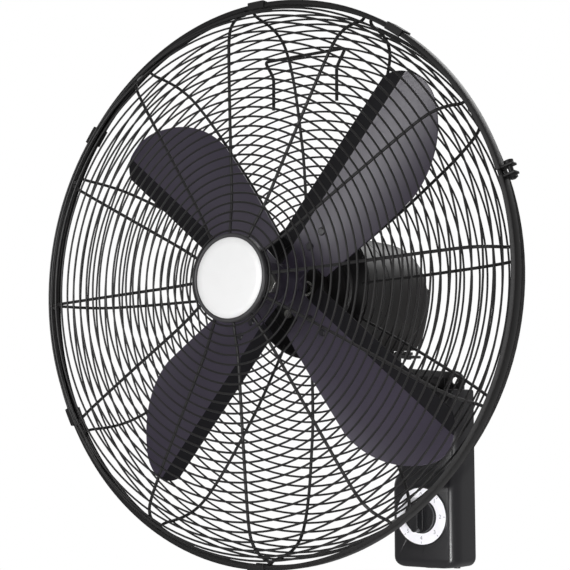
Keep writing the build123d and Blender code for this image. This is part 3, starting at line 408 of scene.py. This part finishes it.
def cage(bends, rim_depth, first_spoke=0.0):
    """A welded cage: twelve bent spokes, the ring wires on their outside and the end wire."""
    places = [from_axis(*bend) for bend in bends]
    bm = bmesh.new()
    wire_mesh(bm, places, SPOKE_WIRE, 8)
    bmesh.ops.spin(
        bm, geom=bm.verts[:] + bm.edges[:] + bm.faces[:], cent=FAN_CENTRE, axis=(0, 1, 0),
        angle=2 * math.pi * (SPOKES - 1) / SPOKES, steps=SPOKES - 1, use_duplicate=True)
    bmesh.ops.rotate(
        bm, verts=bm.verts, cent=FAN_CENTRE, matrix=Matrix.Rotation(math.radians(-first_spoke), 3, "Y"))
    lift = (SPOKE_WIRE + RING_WIRE) / 2 - 0.7
    mouth = FAN_CENTRE.x + MOUTH_RADIUS * MM
    for place in ring_places(wire_points(places), 7.0, lift):
        if place.x < mouth and abs(place.y - FAN_CENTRE.y) > 1.5 * abs(rim_depth) * MM:
            ring_wire(bm, place, RING_WIRE)
    ring_wire(bm, from_axis(RIM_RADIUS, rim_depth), RIM_WIRE, 10)
    return bm


def front_cage():
    """The front cage: a face dished round the badge's seat, then drawn back steeply to the hoop.

    Each bend of a spoke is a radius and a depth.
    """
    mouth = MOUTH_RADIUS
    dished = FRONT_FACE + FACE_DISH
    bm = cage([
        (BADGE_RADIUS - 4, FRONT_FACE), (BADGE_RADIUS + 4, FRONT_FACE), (0.28 * mouth, dished),
        (0.45 * mouth, dished + 0.6), (0.78 * mouth, dished + 3.4), (0.90 * mouth, 0.86 * dished),
        (0.95 * mouth, 0.68 * dished), (0.985 * mouth, 0.36 * dished), (mouth, -RIM_OFFSET),
        (RIM_RADIUS, -RIM_OFFSET)], -RIM_OFFSET, FRONT_SPOKE_ANGLE)
    inner, back, front = BADGE_RADIUS - SEAT_WIDTH, FRONT_FACE + SEAT_HALF, FRONT_FACE - SEAT_HALF
    edge = 0.4
    spun(bm, [
        (inner, front + edge), (inner + edge, front), (BADGE_RADIUS - edge, front),
        (BADGE_RADIUS, front + edge), (BADGE_RADIUS, back - edge), (BADGE_RADIUS - edge, back),
        (inner + edge, back), (inner, back - edge)], 72)
    fitted(joined(bm, "front_cage"), "fan_head", WIRE_ENAMEL, "guard_paint", "front_guard")


def rear_cage():
    """The rear cage: a flat back on the motor's nose, then a long curve forward to the hoop.

    Its centre plate has a pressed rib round it.
    """
    mouth = MOUTH_RADIUS
    bm = cage([
        (PLATE_RADIUS - 6, REAR_FACE), (0.47 * mouth, REAR_FACE), (0.62 * mouth, 0.93 * REAR_FACE),
        (0.775 * mouth, 0.85 * REAR_FACE), (0.905 * mouth, 0.715 * REAR_FACE),
        (0.96 * mouth, 0.555 * REAR_FACE), (0.988 * mouth, 0.32 * REAR_FACE), (mouth, RIM_OFFSET),
        (RIM_RADIUS, RIM_OFFSET)], RIM_OFFSET, REAR_SPOKE_ANGLE)
    front, rib = NOSE_DEPTH - 2.3, NOSE_DEPTH - 4
    spun(bm, [
        (PLATE_BORE, front + 0.3), (PLATE_BORE + 0.3, front), (46, front), (48, rib), (52, rib),
        (54, front), (PLATE_RADIUS - 0.5, front), (PLATE_RADIUS, NOSE_DEPTH - 1.6),
        (PLATE_RADIUS, NOSE_DEPTH - 0.4), (PLATE_RADIUS - 0.4, NOSE_DEPTH),
        (PLATE_BORE, NOSE_DEPTH)], 96)
    fitted(joined(bm, "rear_cage"), "fan_head", WIRE_ENAMEL, "guard_paint", "rear_guard")


def hoop():
    """The channel hoop that grips both cages, its lips rolled in, open at its joint."""
    half, outer = HOOP_WIDTH / 2, GUARD_RADIUS
    inner, lip = outer - HOOP_SHEET, outer - HOOP_LIP
    bm = bmesh.new()
    gap = math.degrees(HOOP_GAP / outer)
    section = [
        (lip, -half), (outer - 1.6, -half), (outer - 0.5, 0.4 - half), (outer, 1.6 - half),
        (outer, half - 1.6), (outer - 0.5, half - 0.4), (outer - 1.6, half), (lip, half),
        (lip, half - HOOP_SHEET), (inner, half - HOOP_SHEET), (inner, HOOP_SHEET - half),
        (lip, HOOP_SHEET - half)]
    spun(bm, section, 192, 360.0 - gap, HOOP_JOINT_ANGLE + gap / 2)
    bmesh.ops.remove_doubles(bm, verts=bm.verts, dist=0.002 * MM)
    piece = rounded(joined(bm, "rolled_hoop", 40.0), 0.35, 2, 50.0)
    fitted(piece, "fan_head", HOOP_ENAMEL, "guard_paint", "guard_hoop")


def hoop_ears():
    """The two ears folded out at the hoop's joint, for its screw."""
    sheet, reach = 2.5, 13.0
    bm = bmesh.new()
    for side in (1, -1):
        size = Matrix.Diagonal((reach * MM, (HOOP_WIDTH - 2 * HOOP_SHEET) * MM, sheet * MM, 1))
        offset = side * (HOOP_GAP + sheet) / 2
        place = Vector((GUARD_RADIUS - HOOP_SHEET + reach / 2, 0, offset)) * MM
        turn = Matrix.Rotation(math.radians(-HOOP_JOINT_ANGLE), 4, "Y")
        bmesh.ops.create_cube(
            bm, size=1, matrix=Matrix.Translation(FAN_CENTRE) @ turn @ Matrix.Translation(place) @ size)
    bmesh.ops.bevel(
        bm, geom=bm.edges[:], offset=0.6 * MM, segments=3, profile=0.5, affect="EDGES", material=-1)
    fitted(joined(bm, "hoop_ears"), "fan_head", HOOP_ENAMEL, "guard_paint")


def handle():
    """The carrying handle: one wire bent at four corners, welded across the rear ring wires."""
    low, high = handle_low, handle_high
    roundness, knee_share, foot_share, corner_inset, bend = 1.02, 0.65, 40 / 51, 0.8, 9 * MM
    wire = (high.y - low.y) / MM * roundness
    y = (low.y + high.y) / 2
    foot_z, top_z = low.z + wire / 2 * MM, high.z - wire / 2 * MM
    knee_z = foot_z + knee_share * (top_z - foot_z)
    top_x = high.x - corner_inset * wire * MM
    foot_x = top_x * foot_share
    corners = [
        Vector((-foot_x, y, foot_z)), Vector((-foot_x, y, knee_z)), Vector((-top_x, y, top_z)),
        Vector((top_x, y, top_z)), Vector((foot_x, y, knee_z)), Vector((foot_x, y, foot_z))]
    bends = [corners[0]]
    for before, corner, after in zip(corners, corners[1:], corners[2:]):
        bends += [corner + (before - corner).normalized() * bend, corner,
                  corner + (after - corner).normalized() * bend]
    bends.append(corners[-1])
    bm = bmesh.new()
    wire_mesh(bm, bends, wire, 12)
    fitted(joined(bm, "bent_handle"), "fan_head", WIRE_ENAMEL, "guard_paint", "carry_handle")


def badge():
    """The plain round badge: a shallow domed disc in a rolled rim."""
    rim = 4.0
    inner = BADGE_RADIUS - rim
    bm = bmesh.new()
    spun(bm, [
        (0.01, BADGE_BACK), (0.01, BADGE_BACK - 1.2), (inner, BADGE_BACK - 1.2),
        (inner, BADGE_FRONT + 1.0), (inner + 0.8, BADGE_FRONT + 0.25),
        (inner + rim / 2, BADGE_FRONT + 0.01), (BADGE_RADIUS - 0.9, BADGE_FRONT + 0.35),
        (BADGE_RADIUS - 0.2, BADGE_FRONT + 1.1), (BADGE_RADIUS, BADGE_FRONT + 2),
        (BADGE_RADIUS, BADGE_BACK)], 96)
    fitted(joined(bm, "badge_rim"), "fan_head", BADGE_RIM_ABS, "badge_trim", "badge_cup")
    crown = BADGE_FRONT + 0.4
    bm = bmesh.new()
    spun(bm, [
        (0.01, BADGE_BACK - 1.3), (0.01, crown), (0.5 * inner, crown + 0.15),
        (0.8 * inner, crown + 0.45), (inner - 0.5, crown + 0.85), (inner - 0.05, crown + 1.3),
        (inner - 0.05, BADGE_BACK - 1.3)], 96)
    fitted(joined(bm, "badge_face", 50.0), "fan_head", BADGE_WHITE, "badge_face", "badge_disc")


# ---------------------------------------------------------------- blades
def blade(number):
    """A pressed blade: satin over its face; the lip bent along its trailing edge gets a darker, duller
    paint as painted shade for its bend.
    """
    piece = dressed(f"fan_blade_{number}", "rotor", BLADE_ENAMEL, "blade_paint", 0.35)
    piece.data.materials.append(BLADE_LIP_PAINTED_SHADE)
    arm_angle = math.radians(90 * number - 45)
    arm = Vector((math.cos(arm_angle), 0, math.sin(arm_angle)))
    across = Vector((-math.sin(arm_angle), 0, math.cos(arm_angle)))
    # faces behind the lip line take the lip's painted shade
    for face in piece.data.polygons:
        spot = face.center - FAN_CENTRE
        lip_line = LIP_OFFSET * MM + math.tan(math.radians(LIP_RAKE)) * spot.dot(arm)
        face.material_index = int(spot.dot(across) > lip_line)


# ---------------------------------------------------------------- dial
def flat_text(text, height):
    """A numeral as a mesh in its own XY plane, centred, with a film's thickness."""
    curve = bpy.data.curves.new("numeral", "FONT")
    curve.body = text
    curve.size = height * MM
    curve.align_x = "CENTER"
    curve.align_y = "CENTER"
    curve.extrude = 0.03 * MM
    curve.resolution_u = 4
    holder = bpy.data.objects.new("numeral", curve)
    mesh = bpy.data.meshes.new_from_object(holder)
    bpy.data.objects.remove(holder)
    return mesh


def dial():
    """The dial: a black plate with a white printed band."""
    bm = bmesh.new()
    back, edge = (dial_high.y - dial_low.y) / MM, DIAL_PRINT_RADIUS + 1.5
    spun(bm, [
        (DIAL_PLATE_BORE, 0), (edge - 0.4, 0), (edge, 0.4), (edge, back), (DIAL_PLATE_BORE, back)],
        96, centre=DIAL_FACE)
    fitted(joined(bm, "dial_back_plate"), "wall_unit", BOX_ABS, "dial_face", "dial_plate")
    bm = bmesh.new()
    spun(bm, [
        (DIAL_PRINT_BORE, -0.04), (DIAL_PRINT_RADIUS, -0.04), (DIAL_PRINT_RADIUS, 0.1),
        (DIAL_PRINT_BORE, 0.1)], 96, centre=DIAL_FACE)
    fitted(joined(bm, "dial_band"), "wall_unit", DIAL_PRINT, "dial_face")


def dial_print():
    """Numerals 0 to 5, an eighth of a turn apart clockwise from the top, each with its tick."""
    bm = bmesh.new()
    stand = Matrix.Rotation(math.radians(90), 4, "X")
    film = Vector((0, -0.08 * MM, 0))
    for number in range(NUMERALS):
        turn = math.radians(90 - NUMERAL_TURN * number)
        outwards = Vector((math.cos(turn), 0, math.sin(turn)))
        mark = bmesh.new()
        mark.from_mesh(flat_text(str(number), NUMERAL_HEIGHT))
        place = DIAL_FACE + film + outwards * 0.77 * DIAL_PRINT_RADIUS * MM
        bmesh.ops.transform(mark, matrix=Matrix.Translation(place) @ stand, verts=mark.verts)
        holder = bpy.data.meshes.new("numeral")
        mark.to_mesh(holder)
        mark.free()
        bm.from_mesh(holder)
        tick = Matrix.Translation(DIAL_FACE + film + outwards * (DIAL_PRINT_RADIUS - 2.2) * MM)
        bmesh.ops.create_cube(bm, size=1, matrix=(
            tick @ Matrix.Rotation(-turn, 4, "Y") @ Matrix.Diagonal((2.4 * MM, 0.06 * MM, 0.7 * MM, 1))))
    fitted(joined(bm, "dial_numerals"), "wall_unit", NUMERAL_INK, "dial_face")


# ---------------------------------------------------------------- switch box
def cut(piece, *cutters):
    """Takes the cutters' forms out of a piece, and the cutters out of the scene."""
    for cutter in cutters:
        step = piece.modifiers.new("opening", "BOOLEAN")
        step.object = cutter
        step.solver = "EXACT"
    bpy.context.view_layer.update()
    done = bpy.data.meshes.new_from_object(piece.evaluated_get(bpy.context.evaluated_depsgraph_get()))
    piece.modifiers.clear()
    piece.data = done
    for cutter in cutters:
        bpy.data.objects.remove(cutter)


def block(low, high):
    """A plain block between two corners given in mm."""
    low, high = Vector(low), Vector(high)
    middle = Matrix.Translation((low + high) / 2 * MM)
    bm = bmesh.new()
    bmesh.ops.create_cube(bm, size=1, matrix=middle @ Matrix.Diagonal((*(high - low) * MM, 1)))
    return joined(bm, "block")


def peg(place, radius, length, axis):
    """A plain round peg along an axis, its middle at a place in metres."""
    bm = bmesh.new()
    turn = Matrix.Rotation(math.radians(90), 4, "X") if axis == "Y" else Matrix.Identity(4)
    bmesh.ops.create_cone(
        bm, cap_ends=True, segments=48, radius1=radius * MM, radius2=radius * MM, depth=length * MM,
        matrix=Matrix.Translation(place) @ turn)
    return joined(bm, "peg")


def box_level(bm, level, front_half, rear_half, depth, tilt):
    """One level of the box's skin: back edge, side, broad soft corner, front, and the same back again.

    level is the height of its front; tilt lifts it towards the wall.
    """
    corner_width, corner_depth = 10.0, min(20.0, 0.45 * depth)
    right = [(rear_half, 0.3), (rear_half, 0.3 * depth)]
    for step in range(9):
        turn = math.radians(90 * step / 8)
        right.append((
            rear_half - corner_width * (1 - math.cos(turn)),
            depth - corner_depth * (1 - math.sin(turn))))
    outline = right + [(0.0, depth)] + [(-x, y) for x, y in reversed(right)]
    verts = []
    for x, y in outline:
        taper = 1 - (1 - front_half / rear_half) * y / depth
        height = level + tilt * (depth - y)
        verts.append(bm.verts.new(Vector((x * taper, -y, height)) * MM))
    return [bm.edges.new(pair) for pair in zip(verts, verts[1:])]


def switch_box():
    """The moulded box: a deep lower half with round lower corners, a soft shoulder, a slimmer top."""
    low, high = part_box("switch_box")
    half, depth, foot, top = high.x / MM, -low.y / MM, low.z / MM, high.z / MM
    levels = []
    for step in range(7):
        turn = math.radians(90 * step / 6)
        side = half - BOX_CORNER * (1 - math.sin(turn))
        levels.append((
            foot + BOX_CORNER * (1 - math.cos(turn)), side, side,
            depth - BOX_FOOT_EDGE * (1 - math.sin(turn)), 0.0))
    # (height, narrowing of the front, narrowing of the back, how much shallower, tilt)
    shoulder = [
        (-60, 0, 0, 0, 0.0), (-50, 0, 0, 0, 0.2), (-46, 0, 0, 0.2, 0.3), (-43, 0.1, 0, 1.0, 0.37),
        (-40, 0.3, 0, 2.6, 0.41), (-36, 0.9, 0, 5.6, 0.41), (-32, 1.8, 0, 9.0, 0.41),
        (-28, 2.5, 0, 11.4, 0.41), (-24, 2.9, 0, 12.6, 0.36), (-19, 3.0, 0, 13.0, 0.28),
        (-8, 3.0, 0, 13.2, 0.12), (8, 3.0, 0, 13.7, 0.0), (top - 2.0, 3.2, 0, 16.6, 0.0),
        (top - 0.6, 3.8, 0.6, 17.2, 0.0), (top, 5.2, 2.0, 18.6, 0.0)]
    levels += [
        (level, half - front, half - back, depth - shallower, tilt)
        for level, front, back, shallower, tilt in shoulder]
    bm = bmesh.new()
    rows = [box_level(bm, *level) for level in levels]
    for lower, upper in zip(rows, rows[1:]):
        bmesh.ops.bridge_loops(bm, edges=lower + upper)
    for row in (rows[0], rows[-1]):
        bm.faces.new(list(dict.fromkeys(vert for edge in row for vert in edge.verts)))
    piece = joined(bm, "moulded_switch_box", 32.0)
    shell = piece.modifiers.new("moulded wall", "SOLIDIFY")
    shell.thickness = BOX_WALL * MM
    shell.offset = -1
    grommet_low, grommet_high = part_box("cable_grommet")
    grommet_place = (grommet_low + grommet_high) / 2
    cut(
        piece,
        block(
            (-BRACKET_HALF, -BRACKET_SHEET - 0.4, top - 2 * BOX_WALL), (BRACKET_HALF, 1, top + 1)),
        block(
            (-ARM_SLOT / 2, -2 * BRACKET_SHEET - 4, top - 2 * BOX_WALL), (ARM_SLOT / 2, 1, top + 1)),
        peg(DIAL_FACE, SHAFT_HOLE, 4 * BOX_WALL, "Y"),
        peg(grommet_place, GROMMET_HOLE, 4 * BOX_WALL, "Z"))
    fitted(piece, "wall_unit", BOX_ABS, "box_plastic", "switch_box")


# ---------------------------------------------------------------- pieces kept from the CAD
def finish_hidden_pieces():
    """Gives the CAD nodes that stay as they are their finishes."""
    finishes = {
        HOOP_ENAMEL: ["hoop_screw", "hoop_nut"],
        CAST_ENAMEL: ["crank", "stay_screws"],
        ZINC: ["guard_screws"],
        BLACK_SCREW: ["motor_through_screws", "box_screws", "swivel_set_screw"],
        SHAFT_STEEL: ["rotor_shaft", "swivel_pin", "switch_shaft", "front_bearing", "rear_bearing"],
        BRONZE: ["swivel_bush"],
        LAMINATIONS: ["stator", "rotor_core"],
        SWITCH_NYLON: ["rotary_switch", "terminal_block"],
        CAPACITOR_CASE: ["run_capacitor"],
        GROMMET_RUBBER: ["cable_grommet"],
        RIVET_ENAMEL: ["blade_rivets"],
    }
    for finish, nodes in finishes.items():
        for node in nodes:
            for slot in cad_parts[node].material_slots:
                slot.material = finish


# ---------------------------------------------------------------- room, lamps and camera
def white_room():
    """White to the camera and in what mirrors it; a softer grey for what the paint gathers."""
    world = bpy.data.worlds.new("white room")
    bpy.context.scene.world = world
    world.use_nodes = True
    tree = world.node_tree
    tree.nodes.clear()
    path = add_node(tree, "ShaderNodeLightPath")
    seen = add_node(
        tree, "ShaderNodeMath",
        {0: path.outputs["Is Camera Ray"], 1: path.outputs["Is Transmission Ray"]},
        operation="MAXIMUM")
    shown = add_node(
        tree, "ShaderNodeMath",
        {0: path.outputs["Is Glossy Ray"], 1: GLOSS_SHARE, 2: seen.outputs[0]}, operation="MULTIPLY_ADD")
    light = add_node(
        tree, "ShaderNodeMapRange", {"Value": shown.outputs[0], "To Min": 0.25, "To Max": 1.0})
    sky = add_node(tree, "ShaderNodeBackground", {"Strength": light.outputs[0]})
    sky.inputs[0].default_value = (1, 1, 1, 1)
    output = add_node(tree, "ShaderNodeOutputWorld")
    tree.links.new(sky.outputs[0], output.inputs[0])


def pale_floor():
    """A plain pale floor, well under the fan, that turns to the room's white away from it."""
    bm = bmesh.new()
    bmesh.ops.create_grid(
        bm, x_segments=1, y_segments=1, size=4, matrix=Matrix.Translation((0, 0, FLOOR_Z)))
    floor = joined(bm, "floor")
    material, tree, place = empty_finish("matt_white_floor")
    flecks = grain(tree, place, 30.0)
    tone = add_node(
        tree, "ShaderNodeMix", {0: flecks.outputs[0], 6: linear("#F2F2F2"), 7: linear("#FAFAFA")},
        data_type="RGBA")
    paint = add_node(tree, "ShaderNodeBsdfPrincipled", {"Base Color": tone.outputs[2], "Roughness": 0.8})
    away = add_node(
        tree, "ShaderNodeVectorMath", {0: place, 1: (0, 0, FLOOR_Z)}, operation="DISTANCE")
    haze = add_node(tree, "ShaderNodeMapRange", {
        "Value": away.outputs["Value"], "From Min": 0.3, "From Max": 2.2, "To Min": 0.6, "To Max": 1.0})
    seen = add_node(tree, "ShaderNodeLightPath").outputs["Is Camera Ray"]
    whitened = add_node(
        tree, "ShaderNodeMath", {0: haze.outputs[0], 1: seen}, operation="MULTIPLY")
    white = add_node(tree, "ShaderNodeEmission", {"Color": (1, 1, 1, 1), "Strength": 1.0})
    surface = add_node(tree, "ShaderNodeMixShader", {
        0: whitened.outputs[0], 1: paint.outputs[0], 2: white.outputs[0]})
    output = add_node(tree, "ShaderNodeOutputMaterial")
    tree.links.new(surface.outputs[0], output.inputs[0])
    floor.data.materials.append(material)


def lamp(name, place, width, power, target=FAN_CENTRE, spread=180.0):
    """A soft square lamp aimed at the fan's centre or another place; a grid narrows its spread."""
    light = bpy.data.lights.new(name, "AREA")
    light.size = width
    light.energy = power
    light.spread = math.radians(spread)
    holder = bpy.data.objects.new(name, light)
    holder.location = place
    holder.rotation_euler = (target - Vector(place)).to_track_quat("-Z", "Y").to_euler()
    bpy.context.scene.collection.objects.link(holder)


def camera():
    """The photograph's view: from the right and a little below, with a long lens."""
    azimuth, rise, distance = math.radians(36.0), math.radians(-5.8), 1.482
    towards = Vector((
        math.sin(azimuth) * math.cos(rise), -math.cos(azimuth) * math.cos(rise), math.sin(rise)))
    data = bpy.data.cameras.new("camera")
    data.lens = 93.27
    data.sensor_width = 36
    data.shift_x = 0.0439
    data.shift_y = -0.0053
    holder = bpy.data.objects.new("camera", data)
    holder.location = FAN_CENTRE + towards * distance
    holder.rotation_euler = (-towards).to_track_quat("-Z", "Y").to_euler()
    bpy.context.scene.collection.objects.link(holder)
    bpy.context.scene.camera = holder


# ---------------------------------------------------------------- the fan
front_cage()
rear_cage()
hoop()
hoop_ears()
dressed("guard_clips", "fan_head", HOOP_ENAMEL, "guard_paint", 0.4)
handle()
badge()

for blade_number in range(1, 5):
    blade(blade_number)
dressed("blade_hub", "rotor", BLADE_ENAMEL, "blade_paint", 0.5)
dressed("hub_nut", "rotor", ZINC, "zinc_steel", 0.6)

dressed("motor_front_shell", "fan_head", MOTOR_ENAMEL, "motor_paint", 0.8)
dressed("motor_rear_shell", "fan_head", MOTOR_ENAMEL, "motor_paint", 0.8)
dressed("gearbox_housing", "fan_head", MOTOR_ENAMEL, "motor_paint", 0.8)
dressed("gearbox_cover", "fan_head", MOTOR_ENAMEL, "motor_paint", 0.8)
dressed("clutch_knob", "clutch", KNOB_ABS, "knob_plastic", 0.5)
dressed("tilt_neck", "neck", CAST_ENAMEL, "bracket_paint", 0.8)
dressed("oscillation_stay", "neck", CAST_ENAMEL, "bracket_paint", 0.4)
dressed("wall_bracket", "wall_unit", CAST_ENAMEL, "bracket_paint", 0.8)
dressed("tilt_bolt", "wall_unit", ZINC, "zinc_steel", 0.5)
dressed("tilt_nut", "wall_unit", ZINC, "zinc_steel", 0.5)
switch_box()
dressed("speed_knob", "speed_control", KNOB_ABS, "knob_plastic", 0.6, 3)
dial()
dial_print()
finish_hidden_pieces()

scene = bpy.context.scene
scene.view_settings.view_transform = "Standard"
white_room()
pale_floor()
# name, place and width in metres, power in watts
lamp("key lamp", (-0.28, -2.75, 0.29), 1.0, 32)
lamp("fill lamp", (2.05, -1.5, -0.3), 0.7, 12)
lamp("box lamp", (0.87, -0.8, -0.44), 0.35, 0.7, DIAL_FACE, 40.0)
lamp("back lamp", (0.1, 1.5, 1.6), 1.2, 14)
camera()
